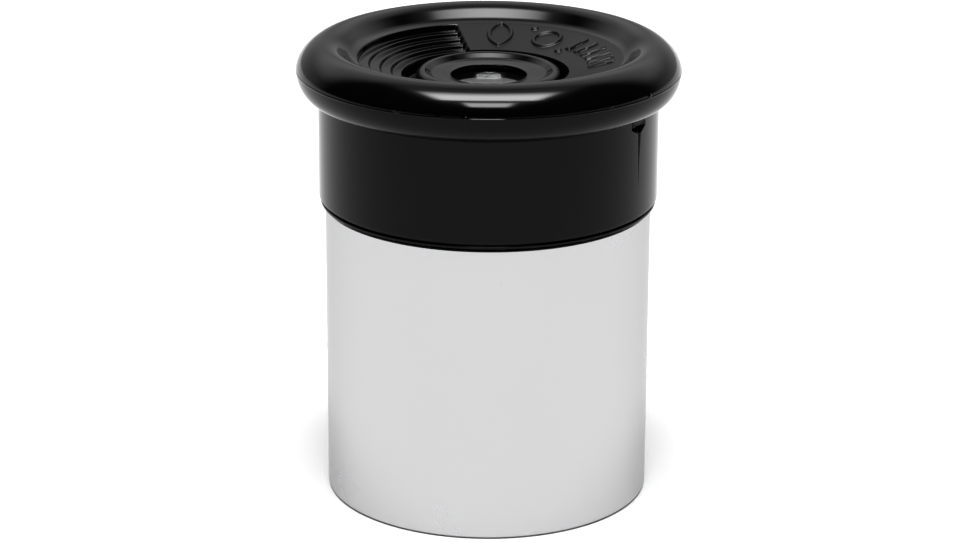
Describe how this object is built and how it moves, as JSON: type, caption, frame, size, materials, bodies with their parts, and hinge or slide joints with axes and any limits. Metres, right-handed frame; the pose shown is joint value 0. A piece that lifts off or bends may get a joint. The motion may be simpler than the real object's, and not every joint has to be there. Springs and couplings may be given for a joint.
{
  "type": "telescope eyepiece",
  "caption": "Small telescope eyepiece: plain satin metal barrel, black moulded eye cap that unscrews, two plano-convex lenses and a field stop inside.",
  "frame": {"origin": "bottom centre of the barrel, on the optical axis", "axes": "+Z along the optical axis towards the eye, +X and +Y across it. Seen from the eye side, the smooth sector of the cap's bowl runs from 30 degrees clockwise of +X to 105 degrees anticlockwise of it"},
  "size_m": [0.0288, 0.0288, 0.0349],
  "materials": {
    "satin_metal": "fine turned satin with faint tool marks",
    "black_plastic": "glossy moulded black",
    "black_metal": "blackened, matt",
    "matte_black": "matt black, anti-reflection",
    "lens_glass": "polished crown glass"
  },
  "bodies": {
    "barrel": {"barrel": "satin_metal", "lower_spacer": "matte_black", "field_stop": "black_metal", "upper_spacer": "matte_black", "field_lens": "lens_glass", "field_lens_ring": "black_metal"},
    "eye_lens_carrier": {"eye_lens": "lens_glass", "eye_lens_ring": "black_metal"},
    "eye_cap": {"eye_cap": "black_plastic"}
  },
  "joints": [
    {"name": "cap_lift", "type": "slide", "parent": "barrel", "child": "eye_lens_carrier", "axis": [0, 0, 1], "range_m": [0, 0.00281]},
    {"name": "cap_turn", "type": "hinge", "parent": "eye_lens_carrier", "child": "eye_cap", "pos_m": [0, 0, 0.0227], "axis": [0, 0, 1], "range_deg": [0, 1260]}
  ],
  "couplings": [
    {"joint": "cap_lift", "follows": "cap_turn", "m_per_rad": 0.00012732}
  ]
}
